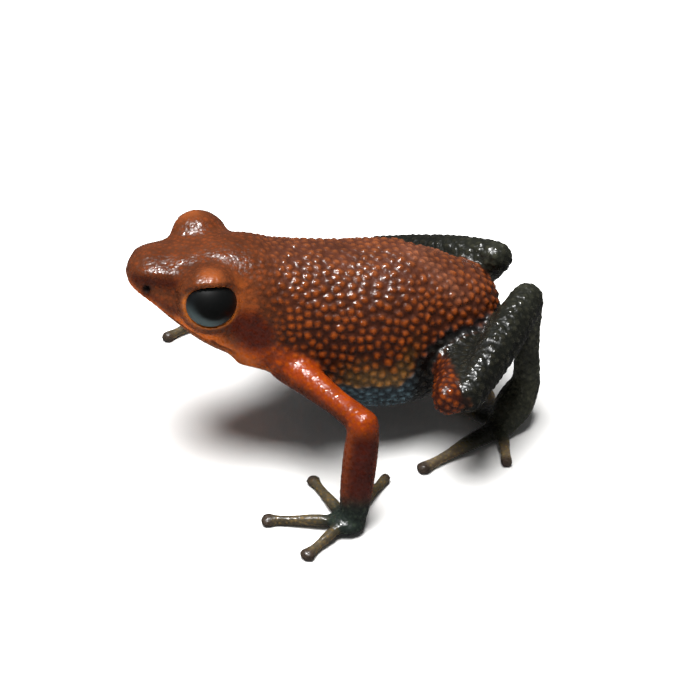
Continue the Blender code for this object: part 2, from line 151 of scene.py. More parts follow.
LEGS = {
    "left": {
        "hip": (1.5, 6.6, 4.2),
        "knee": (6.75, 4.08, 5.02),
        "shin": (6.75, 4.99, 4.98),
        "heel": (1.5, 9.4, 6.46),
        "ankle": (2.35, 9.25, 1.95),
        "ball": (3.72, 7.62, 0.45),
    },
    "right": {
        "hip": (-1.5, 6.3, 4.0),
        "knee": (-6.3, 2.8, 4.8),
        "shin": (-6.3, 3.7, 4.95),
        "heel": (-1.6, 8.6, 7.0),
        "ankle": (-4.4, 7.0, 1.9),
        "ball": (-5.4, 5.3, 0.45),
    },
}
THIGH_RADII = (1.40, 1.38, 1.12, 0.82)
SHANK_RADII = (0.82, 0.98, 1.02, 0.86)
TARSUS_RADII = (0.84, 0.68, 0.64, 0.72)
FOOT_SIZES = ((0.76, 0.74), (1.02, 0.74), (0.74, 0.52))
TOES = {
    "left": [
        ((0.4, 7.8), 0.26),
        ((0.55, 6.8), 0.30),
        ((1.1, 5.8), 0.33),
        ((5.93, 2.93), 0.40),
        ((6.42, 7.2), 0.30),
    ],
    "right": [
        ((-3.4, 4.8), 0.26),
        ((-3.4, 3.7), 0.30),
        ((-4.3, 2.7), 0.33),
        ((-7.6, 1.2), 0.37),
        ((-8.5, 4.9), 0.27),
    ],
}
TOE_RADIUS = 0.28
TOE_ROOT_RADII = (0.32, 0.36, 0.42, 0.66, 0.36)
DIGIT_ROOT_HEIGHT = 0.42
DIGIT_TIP_HEIGHT = 0.2
DISC_HALF_HEIGHT = 0.27
DIGIT_ARCH = 0.05

# The camera stands where the photograph was taken from: degrees round the frog and above the floor, millimetres
CAMERA_ROUND = 77.0
CAMERA_ABOVE = 36.0
CAMERA_DISTANCE = 200.0
CAMERA_TARGET = (0.30, 0.62, 3.9)
PIXELS_PER_MM = 20.0
PICTURE_WIDTH = 700
SENSOR_WIDTH = 36.0
CAMERA_CLIP = (0.005, 5.0)

# Lamps: place, width of the round face and power, in metres and watts. The wide one gives the soft shade, and the
# small one the sparks on wet skin
SOFT_LAMP = ((-0.012, -0.032, 0.268), 0.20, 1.7)
SPARK_LAMP = ((-0.012, -0.045, 0.266), 0.048, 1.6)
ROOM_LIGHT = 0.1
FLOOR_HALF_WIDTH = 0.6

# The height of the flank's lower edge at each y, from front to back. The belly below it is slate blue
FLANK_EDGE_Y = (-4.0, -2.0, 0.0, 0.9, 2.0, 2.8, 3.6, 4.4, 5.3, 8.0)
FLANK_EDGE_Z = (5.3, 4.7, 4.3, 4.2, 4.0, 4.8, 5.6, 6.1, 6.3, 6.0)

# Lines on the left side of the head, for a head that looks straight ahead: across, y, z
CANTHUS = [(1.00, -9.80, 10.12), (1.31, -8.98, 10.22), (1.47, -8.26, 10.30), (1.50, -7.60, 10.42)]
CANTHUS_SHADE = [
    (1.00, -10.10, 9.80),
    (1.35, -9.70, 9.90),
    (1.58, -9.00, 9.95),
    (1.78, -8.30, 9.95),
    (1.85, -7.75, 9.95),
]
LORE = [(1.65, -9.10, 9.55), (2.00, -8.50, 9.55), (2.30, -7.95, 9.45)]
LIP_LINE = [(1.45, -9.60, 9.25), (2.06, -8.80, 9.12), (2.46, -8.23, 8.90), (2.80, -7.60, 8.62)]
JAW_EDGE = [(2.67, -7.86, 8.50), (3.07, -6.91, 8.00), (3.22, -6.19, 7.62), (3.10, -5.38, 6.80), (3.30, -4.40, 6.20)]
CHEEK = [(2.35, -5.10, 9.95), (2.75, -4.95, 9.35)]
EARDRUM_SKIN = [(3.05, -4.75, 8.35), (3.15, -4.10, 7.60)]

# Lines on both sides of the trunk: across, y, z
SHOULDER = [(3.10, -5.10, 6.85), (3.30, -4.10, 6.45), (3.45, -3.20, 6.10)]
PELVIS = [(0.20, 3.70, 9.05), (0.60, 4.50, 8.75), (1.30, 5.10, 8.30), (1.95, 5.75, 7.60)]

# Furrows and swellings of the skin: height and half width
MOUTH_GROOVE = (0.13, 0.08)
LIP_SWELLING = (0.06, 0.16)
LIP_ABOVE_MOUTH = 0.24
CANTHUS_RIDGE = (0.10, 0.30)
LORE_HOLLOW = (0.10, 0.42)
PELVIS_RIDGE = (0.08, 0.40)
NOSTRIL_PIT = (0.20, 0.14)
EARDRUM_HOLLOW = (0.07, 0.45)

# Rounds of smoothing: of the whole skin, of the joins of the limbs, and of the wider joins of head and lids
RELAX_ROUNDS = 6
LIMB_JOIN_ROUNDS = 24
LID_JOIN_ROUNDS = 60

# Granules by the kind of flesh that they are on: spacing and height
GRANULES = {
    "lid": (0.26, 0.012),
    "upper_arm": (0.30, 0.018),
    "forearm": (0.28, 0.016),
    "hand": (0.26, 0.01),
    "finger": (0.22, 0.0),
    "thigh": (0.37, 0.06),
    "shank": (0.37, 0.065),
    "tarsus": (0.33, 0.045),
    "foot": (0.28, 0.02),
    "toe": (0.22, 0.0),
}
HEAD_GRANULES = (0.26, 0.012)
BACK_GRANULES = (0.43, 0.12)

# Where along the neck the granules grow from the head's to the back's, how much closer and lower they are on the
# belly, and the least share of their spacing that parts two of them
NECK = (-5.4, -1.8)
BELLY_CLOSER = 0.14
BELLY_LOWER = 0.55
LEAST_GAP = 0.9

# Each granule's outline is drawn out of round by noise, its width and height vary with its tone, and the valleys
# sink as the tops rise
OUTLINE_WOBBLE = 0.07
OUTLINE_WOBBLES_PER_MM = 3.5
HALF_WIDTH = (0.50, 0.16)
HEIGHT_SHARE = (0.65, 0.7)
PROFILE_POWER = 1.7
VALLEY_SHARE = 0.35
PALE_SHARE = (0.6, 0.4)

# Patterns of the skin's material: pale and dark blotches and fine wrinkles, and how deep wrinkles and pores are
BLOTCHES_PER_MM = 0.9
WRINKLES_PER_MM = 2.2
WRINKLE_DEPTH = 0.1
PORE_DEPTH_SHARE = 0.12

# The pupil in parts of the eye's radius: its middle ahead of the gaze and above it, how much it is stretched
# along, and the bounds of its soft edge
PUPIL_AHEAD = -0.12
PUPIL_ABOVE = 0.22
PUPIL_STRETCH = 0.85
PUPIL_EDGE = (0.52, 0.74)


def linear(hex_colour):
    """An sRGB hex colour as linear red, green, blue."""
    srgb = [int(hex_colour[i : i + 2], 16) / 255 for i in (1, 3, 5)]
    return tuple(c / 12.92 if c <= 0.04045 else ((c + 0.055) / 1.055) ** 2.4 for c in srgb)


def shift():
    """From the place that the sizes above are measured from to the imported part's origin, in millimetres."""
    low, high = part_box("eye_left")
    middle = (np.array(low) + np.array(high)) / 2
    return middle / MM - np.array(EYES["left"])


def unit(vectors):
    vectors = np.asarray(vectors, float)
    return vectors / np.linalg.norm(vectors, axis=-1, keepdims=True)


def smooth(values, start, end):
    """0 before start, 1 after end, and a soft step between."""
    t = np.clip((np.asarray(values, float) - start) / (end - start), 0, 1)
    return t * t * (3 - 2 * t)


def flow(places, knots, values):
    """A smooth curve through the values at the knots, read at each of the places."""
    knots = np.asarray(knots, float)
    values = np.asarray(values, float)
    slopes = np.gradient(values, knots, axis=0)
    i = np.clip(np.searchsorted(knots, places) - 1, 0, len(knots) - 2)
    width = knots[i + 1] - knots[i]
    t = (places - knots[i]) / width
    if values.ndim > 1:
        t, width = t[:, None], width[:, None]
    return (
        (2 * t**3 - 3 * t**2 + 1) * values[i]
        + (t**3 - 2 * t**2 + t) * width * slopes[i]
        + (3 * t**2 - 2 * t**3) * values[i + 1]
        + (t**3 - t**2) * width * slopes[i + 1]
    )


def round_end(distance, length, fullness=2.0):
    """1 away from an end, falling to 0 at it as a rounded end does."""
    share = np.clip(distance / length, 0, 1)
    return (1 - (1 - share) ** fullness) ** (1 / fullness)


def sphere_grid(around, along):
    """A closed sphere mesh, with each vertex's place along it from 0 to 1 and its angle round it."""
    bm = bmesh.new()
    bmesh.ops.create_uvsphere(bm, u_segments=around, v_segments=along, radius=1)
    points = np.array([v.co for v in bm.verts])
    place = np.arccos(np.clip(points[:, 2], -1, 1)) / math.pi
    angle = np.arctan2(points[:, 1], points[:, 0])
    return bm, place, angle


class Flesh:
    """The lofts that make up the flesh, and what each of their points belongs to."""

    def __init__(self):
        self.bm = bmesh.new()
        self.names = []
        self.points = []
        self.owners = []
        self.places = []

    def add(self, name, bm, points, place):
        """Joins one closed loft to the flesh."""
        for vert, point in zip(bm.verts, points):
            vert.co = Vector(point)
        bm.normal_update()
        bmesh.ops.recalc_face_normals(bm, faces=bm.faces)
        piece = bpy.data.meshes.new(name)
        bm.to_mesh(piece)
        bm.free()
        self.bm.from_mesh(piece)
        bpy.data.meshes.remove(piece)
        self.owners.append(np.full(len(points), len(self.names)))
        self.names.append(name)
        self.points.append(points)
        self.places.append(place)

    def trunk(self, around=150, along=220):
        """Trunk and head in one loft, through the sections of TRUNK."""
        bm, place, angle = sphere_grid(around, along)
        rows = np.array(TRUNK)
        knots = -rows[:, 0]
        first, last = knots[0], knots[-1]
        forward = first + (last - first) * (1 - np.cos(math.pi * place)) / 2
        x, z, wide, above, below, square_up, square_down, taper = flow(forward, knots, rows[:, 1:]).T
        ends = round_end(forward - first, RUMP_CAP) * round_end(last - forward, SNOUT_CAP, SNOUT_FULLNESS)
        across, rise = np.sin(angle), np.cos(angle)
        square = np.where(rise > 0, square_up, square_down)
        height = np.where(rise > 0, above, below)
        side = np.sign(across) * np.abs(across) ** (2 / square)
        lift = np.sign(rise) * np.abs(rise) ** (2 / square)
        side = side * (1 - taper * np.clip(lift, 0, 1))
        yaw = flow(forward, knots, np.gradient(rows[:, 1], knots))
        reach = wide * side * ends
        points = np.stack([x + reach, yaw * reach - forward, z + height * lift * ends], 1)
        self.add("trunk", bm, points, place)

    def limb(self, name, stations, around=40, along=60, hint=UP):
        """A round-ended limb through stations of (middle, half width, half height)."""
        middles = np.array([middle for middle, _, _ in stations], float)
        sizes = np.array([[wide, high] for _, wide, high in stations], float)
        steps = np.linalg.norm(np.diff(middles, axis=0), axis=1)
        knots = np.concatenate([[0], np.cumsum(steps)])
        bm, place, angle = sphere_grid(around, along)
        start, end = -sizes[0].mean(), knots[-1] + sizes[-1].mean()
        # The rings stand closer together towards the rounded ends
        run = start + (end - start) * (place - 0.13 * np.sin(2 * math.pi * place))
        within = np.clip(run, 0, knots[-1])
        step = knots[-1] / 50
        ahead = unit(
            flow(np.clip(within + step, 0, knots[-1]), knots, middles)
            - flow(np.clip(within - step, 0, knots[-1]), knots, middles)
        )
        centre = flow(within, knots, middles) + ahead * (run - within)[:, None]
        across = unit(np.cross(ahead, hint))
        rise = np.cross(across, ahead)
        ends = round_end(run - start, -start) * round_end(end - run, end - knots[-1])
        radii = flow(within, knots, sizes) * ends[:, None]
        points = (
            centre
            + across * (radii[:, 0] * np.cos(angle))[:, None]
            + rise * (radii[:, 1] * np.sin(angle))[:, None]
        )
        self.add(name, bm, points, within / knots[-1])

    def ball(self, name, centre, radii, axes=None, around=64, along=40):
        """A ball with its own half widths, along the axes given or the world's."""
        bm, place, _ = sphere_grid(around, along)
        points = np.array([v.co for v in bm.verts]) * np.array(radii)
        if axes is not None:
            points = points @ np.array(axes)
        self.add(name, bm, points + np.array(centre), place)

    def digit(self, name, root, tip, disc, radius, root_radius):
        """A finger or toe that arches from its root to a disc lying on the floor."""
        root = np.array([root[0], root[1], DIGIT_ROOT_HEIGHT])
        tip = np.array([*tip, DIGIT_TIP_HEIGHT])
        run = unit(tip - root)
        length = np.linalg.norm(tip - root)
        # Middle, half width and half height of the root, the arch, the waist, the neck and the disc
        stations = [
            (root, root_radius, radius * 1.2),
            (root + run * length * 0.42 + (0, 0, DIGIT_ARCH), (radius + root_radius) / 2, radius * 1.05),
            (root + run * length * 0.72, radius * 0.92, radius * 0.92),
            (tip - run * disc * 1.35, radius, radius * 0.95),
            (tip - run * disc * 0.4, disc, DISC_HALF_HEIGHT),
        ]
        self.limb(name, stations, around=24, along=48)


def straight(start, end, sizes):
    """Evenly spaced stations of a limb from start to end, each size a radius or (half width, half height)."""
    places = np.linspace(start, end, len(sizes))
    return [(place, *np.broadcast_to(size, 2)) for place, size in zip(places, sizes)]


def eye_axes(side):
    """The directions of gaze, forward and up of an eye."""
    gaze = unit(EYE_GAZE[side])
    level = unit(np.cross(gaze, UP))
    return gaze, level, np.cross(level, gaze)


def bowl_reach(offsets):
    """How far out of the bowl that opens a lid points lie, 1 on its wall: its upper half is squarer than a ball."""
    out, ahead, above = np.abs(offsets / np.array(LID_BOWL)).T
    power = np.where(offsets[:, 2] > 0, LID_BOWL_SQUARENESS, 2.0)
    across = (ahead**power + above**power) ** (1 / power)
    return np.hypot(out, across)


def model_flesh():
    """All the lofts of the frog, in millimetres."""
    flesh = Flesh()
    flesh.trunk()
    for side, outwards in zip(SIDES, (1, -1)):
        fold = np.array(FOLD) * (outwards, 1, 1)
        flesh.limb("trunk", straight(*fold, (FOLD_RADIUS,) * 4))
        flesh.ball(f"lid_{side}", EYES[side], LID_DOME, eye_axes(side))
        shoulder, elbow, wrist = (np.array(ARMS[side][joint]) for joint in ("shoulder", "elbow", "wrist"))
        flesh.limb(f"upper_arm_{side}", straight(shoulder, elbow, UPPER_ARM_RADII))
        flesh.limb(f"forearm_{side}", straight(elbow, wrist, FOREARM_RADII), hint=FORWARD)
        flesh.ball(f"hand_{side}", PALMS[side], PALM_RADII)
        for number, ((tip, disc), root_radius) in enumerate(zip(FINGERS[side], FINGER_ROOT_RADII), 1):
            flesh.digit(f"finger_{number}_{side}", PALMS[side], tip, disc, FINGER_RADIUS, root_radius)
        hip, knee, shin, heel, ankle, ball = (
            np.array(LEGS[side][joint]) for joint in ("hip", "knee", "shin", "heel", "ankle", "ball")
        )
        flesh.limb(f"thigh_{side}", straight(hip, knee, THIGH_RADII))
        flesh.limb(f"shank_{side}", straight(shin, heel, SHANK_RADII))
        flesh.limb(f"tarsus_{side}", straight(heel, ankle, TARSUS_RADII), hint=FORWARD)
        flesh.limb(f"foot_{side}", straight(ankle, ball, FOOT_SIZES))
        for number, ((tip, disc), root_radius) in enumerate(zip(TOES[side], TOE_ROOT_RADII), 1):
            flesh.digit(f"toe_{number}_{side}", ball, tip, disc, TOE_RADIUS, root_radius)
    return flesh


def apply_modifier(obj, kind, **settings):
    """Applies one modifier to the object's mesh."""
    modifier = obj.modifiers.new(kind.title(), kind)
    for key, value in settings.items():
        setattr(modifier, key, value)
    graph = bpy.context.evaluated_depsgraph_get()
    made = bpy.data.meshes.new_from_object(obj.evaluated_get(graph))
    obj.modifiers.clear()
    old = obj.data
    obj.data = made
    bpy.data.meshes.remove(old)


class Surface:
    """A mesh's points, normals and edges as arrays, with the moves that shape it."""

    def __init__(self, mesh):
        self.mesh = mesh
        count = len(mesh.vertices)
        self.points = np.empty(count * 3)
        mesh.vertices.foreach_get("co", self.points)
        self.points = self.points.reshape(-1, 3)
        self.edges = np.empty(len(mesh.edges) * 2, int)
        mesh.edges.foreach_get("vertices", self.edges)
        self.edges = self.edges.reshape(-1, 2)
        self.neighbours = np.bincount(self.edges.ravel(), minlength=count)
        self.read_normals()

    def read_normals(self):
        self.normals = np.empty(self.points.size)
        self.mesh.vertex_normals.foreach_get("vector", self.normals)
        self.normals = self.normals.reshape(-1, 3)

    def write(self):
        self.mesh.vertices.foreach_set("co", self.points.ravel())
        self.mesh.update()
        self.read_normals()

    def around(self, values):
        """The mean of each point's neighbours."""
        a, b = self.edges.T
        if values.ndim > 1:
            return np.stack([self.around(column) for column in values.T], 1)
        count = len(self.points)
        return (np.bincount(a, values[b], count) + np.bincount(b, values[a], count)) / self.neighbours

    def blur(self, values, rounds):
        """Values softened towards those of their neighbours."""
        for _ in range(rounds):
            values = (values + self.around(values)) / 2
        return values

    def relax(self, rounds):
        """Smooths without shrinking."""
        for _ in range(rounds):
            for pull in (0.5, -0.52):
                self.points = self.points + pull * (self.around(self.points) - self.points)

    def fill(self, rounds, weight):
        """Smooths corners away where the weight is high."""
        for _ in range(rounds):
            self.points = self.points + weight[:, None] * 0.5 * (self.around(self.points) - self.points)

    def raise_by(self, height):
        """Moves each point outwards by its own height."""
        self.points = self.points + self.normals * height[:, None]

    def store(self, name, values):
        attribute = self.mesh.attributes.new(name, "FLOAT", "POINT")
        attribute.data.foreach_set("value", np.asarray(values, np.float32))

    def store_colour(self, name, colours):
        attribute = self.mesh.attributes.new(name, "FLOAT_COLOR", "POINT")
        colours = np.concatenate([colours, np.ones((len(colours), 1))], 1)
        attribute.data.foreach_set("color", colours.astype(np.float32).ravel())


def distance_to(points, path):
    """Distance of each point to the nearest place on a path of straight pieces."""
    nearest = np.full(len(points), np.inf)
    path = np.atleast_2d(path)
    for start, end in zip(path, path[1:] if len(path) > 1 else path):
        run = end - start
        share = np.clip((points - start) @ run / max(run @ run, 1e-9), 0, 1)
        nearest = np.minimum(nearest, np.linalg.norm(points - start - share[:, None] * run, axis=1))
    return nearest


def bell(distance, width):
    """1 at no distance, and falling softly away over the width."""
    return np.exp(-((distance / width) ** 2))


def on_both_sides(points):
    """The points, with those of the right side moved over to the left."""
    return np.concatenate([np.abs(points[:, :1]), points[:, 1:]], 1)


def in_head(points):
    """The points' places across, along and above the head, as if it looked straight ahead."""
    x, y = points[:, 0] - HEAD_PIVOT[0], points[:, 1] - HEAD_PIVOT[1]
    across = x * math.cos(HEAD_TURN) + y * math.sin(HEAD_TURN)
    along = -x * math.sin(HEAD_TURN) + y * math.cos(HEAD_TURN) + HEAD_PIVOT[1]
    return np.stack([across, along, points[:, 2]], 1)


def above_mouth(points):
    """Height of each point above the plane of the mouth, and 1 along the mouth, falling to 0 behind its corners."""
    placed = in_head(points)
    front_y, front_z = MOUTH_FRONT
    level = front_z - (placed[:, 1] - front_y) * math.tan(MOUTH_SLOPE)
    height = (points[:, 2] - level) * math.cos(MOUTH_SLOPE)
    return height, smooth(-placed[:, 1], -MOUTH_CORNER_Y - 0.3, -MOUTH_CORNER_Y + 0.3)


def label_points(surface, flesh):
    """For each point of the skin: the loft it lies on, that loft's kind, and the point's place along it."""
    points = np.concatenate(flesh.points)
    tree = KDTree(len(points))
    for index, point in enumerate(points):
        tree.insert(point, index)
    tree.balance()
    nearest = np.array([tree.find(point)[1] for point in surface.points])
    kinds = np.array([loft_kind(name) for name in flesh.names])
    owner = np.concatenate(flesh.owners)[nearest]
    return owner, kinds[owner], np.concatenate(flesh.places)[nearest]


def loft_kind(name):
    """The name without its side, and without the number of a digit."""
    name = name.removesuffix("_left").removesuffix("_right")
    return name.split("_")[0] if name.startswith(("finger", "toe")) else name


def soften_joins(surface, owner, kind):
    """Fills the sharp corners where two lofts meet, most of all round the lids."""
    a, b = surface.edges.T
    crossing = owner[a] != owner[b]
    seam = np.zeros(len(owner))
    seam[surface.edges[crossing].ravel()] = 1
    # The joins spread over a few rings of points, and those of head and lids over more
    body = np.isin(kind, ("trunk", "lid"))
    near = np.clip(surface.blur(seam, 10) * 3, 0, 1)
    wide = np.clip(surface.blur(seam * body, 30) * 5, 0, 1)
    away = np.min([distance_to(surface.points, EYES[side]) for side in SIDES], 0)
    wide = wide * smooth(away, EYE_RADIUS + 0.12, EYE_RADIUS + 0.35)
    surface.fill(LIMB_JOIN_ROUNDS, near * (1 - body))
    surface.fill(LID_JOIN_ROUNDS, wide)
    surface.write()


def thin_lids(surface):
    """Draws the lid in to a thin rim where it meets the eye."""
    for side in SIDES:
        gaze, level, rise = eye_axes(side)
        offset = surface.points - np.array(EYES[side])
        reach = np.linalg.norm(offset, axis=1)
        out, above = offset @ gaze, offset @ rise
        beyond = bowl_reach(np.stack([out - LID_BOWL_PLACE, offset @ level, above], 1)) - 1
        near = (out > 0) & (reach < LID_REACH) & (reach > EYE_RADIUS)
        brow = smooth(above, 0.4, 0.9)
        limit = EYE_RADIUS + LID_RIM + LID_FLARE * smooth(beyond, 0.0, 0.5)
        limit = limit + BROW_FLARE * brow * smooth(beyond, 0.0, 0.12)
        scale = np.where(near & (reach > limit), limit / reach, 1.0)
        surface.points = np.array(EYES[side]) + offset * scale[:, None]
    surface.write()


def swelling(distance, size):
    """Height of a swelling at each distance from its middle line, from its full height and half width."""
    height, width = size
    return height * bell(distance, width)


def shape_body(surface):
    """Mouth, lips, nostrils, eardrums, the ridges from nostril to eye and those over the pelvis."""
    height, ahead = above_mouth(surface.points)
    head = on_both_sides(in_head(surface.points))
    sides = on_both_sides(surface.points)
    lift = -swelling(height, MOUTH_GROOVE) * ahead
    lift += swelling(height - LIP_ABOVE_MOUTH, LIP_SWELLING) * ahead
    lift += swelling(distance_to(head, CANTHUS), CANTHUS_RIDGE)
    lift -= swelling(distance_to(head, LORE), LORE_HOLLOW)
    lift += swelling(distance_to(sides, PELVIS), PELVIS_RIDGE)
    for side in SIDES:
        lift -= swelling(distance_to(surface.points, NOSTRILS[side]), NOSTRIL_PIT)
        lift -= swelling(distance_to(surface.points, EARDRUMS[side]), EARDRUM_HOLLOW)
    surface.raise_by(lift)
    surface.write()


def granule_sizes(surface, kind):
    """Spacing and height of the granules at each point of the skin, in millimetres."""
    grown = smooth(surface.points[:, 1], *NECK)
    under = smooth(-surface.normals[:, 2], 0.2, 0.7) * grown
    spacing = HEAD_GRANULES[0] + (BACK_GRANULES[0] - HEAD_GRANULES[0]) * grown - BELLY_CLOSER * under
    height = HEAD_GRANULES[1] + (BACK_GRANULES[1] - HEAD_GRANULES[1]) * grown
    height = height * (1 - BELLY_LOWER * under)
    for name, (gap, rise) in GRANULES.items():
        spacing = np.where(kind == name, gap, spacing)
        height = np.where(kind == name, rise, height)
    return surface.blur(spacing, 6), surface.blur(height, 6)


def granule_centres(surface, spacing, seed):
    """Points of the skin that are at least their own spacing apart, picked in a random order."""
    cell = spacing.max()
    grid = {}
    chosen = []
    for index in np.random.default_rng(seed).permutation(len(surface.points)):
        point = surface.points[index]
        i, j, k = (int(c // cell) for c in point)
        close = [
            other
            for di in (-1, 0, 1)
            for dj in (-1, 0, 1)
            for dk in (-1, 0, 1)
            for other in grid.get((i + di, j + dj, k + dk), ())
        ]
        limit = LEAST_GAP * spacing[index]
        x, y, z = point
        if all((a - x) ** 2 + (b - y) ** 2 + (c - z) ** 2 > limit * limit for a, b, c in close):
            grid.setdefault((i, j, k), []).append((x, y, z))
            chosen.append(index)
    return surface.points[chosen]


def raise_granules(surface, spacing, height, seed):
    """Raises uneven granules on the skin, and returns how far up its granule each point is and the granule's tone."""
    centres = granule_centres(surface, spacing, seed)
    tree = KDTree(len(centres))
    for index, centre in enumerate(centres):
        tree.insert(centre, index)
    tree.balance()
    noise.seed_set(seed)
    moved = [
        Vector(point) + noise.noise_vector(Vector(point) * OUTLINE_WOBBLES_PER_MM) * OUTLINE_WOBBLE
        for point in surface.points
    ]
    found = [tree.find_n(point, 2) for point in moved]
    first = np.array([pair[0][2] for pair in found])
    second = np.array([pair[1][2] for pair in found])
    tone = np.random.default_rng(seed + 1).random(len(centres))[[pair[0][1] for pair in found]]
    least, spread = HALF_WIDTH
    edge = np.minimum((first + second) / 2, spacing * (least + spread * tone))
    profile = np.clip(1 - (first / edge) ** PROFILE_POWER, 0, 1)
    least, spread = HEIGHT_SHARE
    surface.raise_by(height * (least + spread * tone) * (profile - VALLEY_SHARE))
    return profile, tone


def zone_masks(surface, kind, place, tone):
    """How strongly each zone of colour covers each point, from the widest zone to the smallest.

    Bounds are in millimetres, in shares of a limb's length or in parts of a normal.
    """
    points, normals = surface.points, surface.normals
    y, z = points[:, 1], points[:, 2]
    height, ahead = above_mouth(points)
    head = on_both_sides(in_head(points))
    sides = on_both_sides(points)
    trunk = np.isin(kind, ("trunk", "lid")).astype(float)
    digit = np.isin(kind, ("finger", "toe"))
    above_edge = z - np.interp(y, FLANK_EDGE_Y, FLANK_EDGE_Z) + 0.5 * (tone - 0.5)
    shoulder = 1 - smooth(distance_to(sides, SHOULDER), 0.3, 1.0)
    front = smooth(-y, 2.6, 4.6)
    masks = {
        "ridge": trunk * smooth(normals[:, 2], 0.45, 0.95),
        "low_flank": trunk * (1 - smooth(above_edge, 0.6, 1.9)) * bell(np.clip(np.abs(y - 1.2) - 1.3, 0, None), 0.6),
        "crown": trunk * front,
        "belly": trunk * (1 - smooth(above_edge, -0.1, 0.15)) * (1 - smooth(-y, 3.6, 4.4)),
        # Painted shade: low on the rump and the rear of the flank, the slate belly skin is painted near black for the
        # shadow of the thighs
        "rump": trunk * (1 - smooth(above_edge, -0.1, 0.15)) * smooth(y, 2.6, 3.4),
        # Painted highlight: a paler band along the ridge over the pelvis
        "pelvis": 0.6 * trunk * bell(distance_to(sides, PELVIS), 0.5),
        "throat": trunk * front * (1 - smooth(height, -0.05, 0.05)) * smooth(-y, 3.4, 4.0),
        "shoulder": trunk * shoulder,
        "eardrum": trunk * (1 - smooth(distance_to(head, EARDRUM_SKIN), 0.5, 1.1)),
        "cheek": trunk * bell(distance_to(head, CHEEK), 0.45),
        # Painted shade: a dark band under the ridge from nostril to eye
        "shade_under_ridge": trunk * bell(distance_to(head, CANTHUS_SHADE), 0.29),
        "lip": trunk * ahead * smooth(height, -0.02, 0.06) * (1 - smooth(height, 0.22, 0.42)),
        "jaw_edge": trunk * bell(distance_to(head, JAW_EDGE), 0.32),
        "lip_line": trunk * bell(distance_to(head, LIP_LINE), 0.13),
        "upper_arm": (kind == "upper_arm") + (kind == "forearm") * (1 - smooth(place, 0.0, 0.12)),
        # Darker lower front of the upper arm: partly its own darker skin, partly painted shade on the side that faces
        # down
        "dark_and_shaded_under_arm": (kind == "upper_arm") * smooth(-normals[:, 2] - 0.4 * normals[:, 1], -0.35, 0.35),
        "forearm": (kind == "forearm") * smooth(place, 0.0, 0.12),
        "forearm_front": (kind == "forearm") * smooth(place, 0.04, 0.18) * smooth(normals[:, 0], 0.35, 0.85),
        "hand": (kind == "hand") + (kind == "finger") + (kind == "forearm") * smooth(place, 0.72, 0.97),
        "leg": np.isin(kind, ("thigh", "shank", "tarsus", "foot", "toe")).astype(float),
        # Paler top of the shank towards the heel: partly its own olive skin, partly painted light on the side that
        # faces up
        "heel": (kind == "shank") * smooth(place, 0.4, 0.95) * smooth(normals[:, 2], -0.1, 0.7),
        "sole": np.isin(kind, ("tarsus", "foot", "toe")).astype(float),
        "finger": (kind == "finger") * smooth(place, 0.15, 0.5),
        "toe": (kind == "toe") * smooth(place, 0.4, 0.75),
        "disc": digit * smooth(place, 0.92, 0.98),
        "knee": np.zeros(len(points)),
        "brow": np.zeros(len(points)),
        "lid_rim": np.zeros(len(points)),
        # Painted shade: the line of the mouth is painted near black for the shade in its slit
        "dark": ahead * bell(height, 0.07) * trunk,
    }
    for side in SIDES:
        hip, knee, shin = (np.array(LEGS[side][joint]) for joint in ("hip", "knee", "shin"))
        before = smooth((points - (knee + shin) / 2) @ unit(knee - shin), -0.15, 0.15)
        near = smooth(place, 0.45, 0.6) * before
        out = smooth((points - knee) @ unit(knee - hip), 0.25, 0.6)
        knee_mask = np.maximum(near * (kind == "thigh"), out * np.isin(kind, ("thigh", "shank")))
        masks["knee"] = np.maximum(masks["knee"], knee_mask)
        gaze, level, rise = eye_axes(side)
        offset = points - np.array(EYES[side])
        rim = 1 - smooth(np.linalg.norm(offset, axis=1), EYE_RADIUS + 0.08, EYE_RADIUS + 0.18)
        low = 1 - smooth(offset @ rise - 0.5 * (offset @ level), -0.2, 0.6)
        masks["lid_rim"] = np.maximum(masks["lid_rim"], rim * low * trunk)
        # Paler brow over the eye: partly its own orange skin, partly a painted highlight
        brow = bell(distance_to(points, np.array(EYES[side]) + 1.45 * rise + 0.75 * gaze), 0.6)
        masks["brow"] = np.maximum(masks["brow"], brow * trunk)
        # Painted shade: the nostril pits are painted near black for the shade inside them
        pit = 1 - smooth(distance_to(points, NOSTRILS[side]), 0.20, 0.34)
        masks["dark"] = np.maximum(masks["dark"], pit)
    return masks


def add_node(tree, kind, inputs=(), **settings):
    """Adds a node with its settings, and gives each named or numbered input a value or a link."""
    node = tree.nodes.new(kind)
    for key, value in settings.items():
        setattr(node, key, value)
    for key, value in dict(inputs).items():
        socket = node.inputs[key]
        if isinstance(value, bpy.types.NodeSocket):
            tree.links.new(value, socket)
        else:
            socket.default_value = value
    return node


def new_material(name):
    """A material with a node tree, and its Principled shader."""
    material = bpy.data.materials.new(name)
    material.use_nodes = True
    return material, material.node_tree, material.node_tree.nodes["Principled BSDF"]


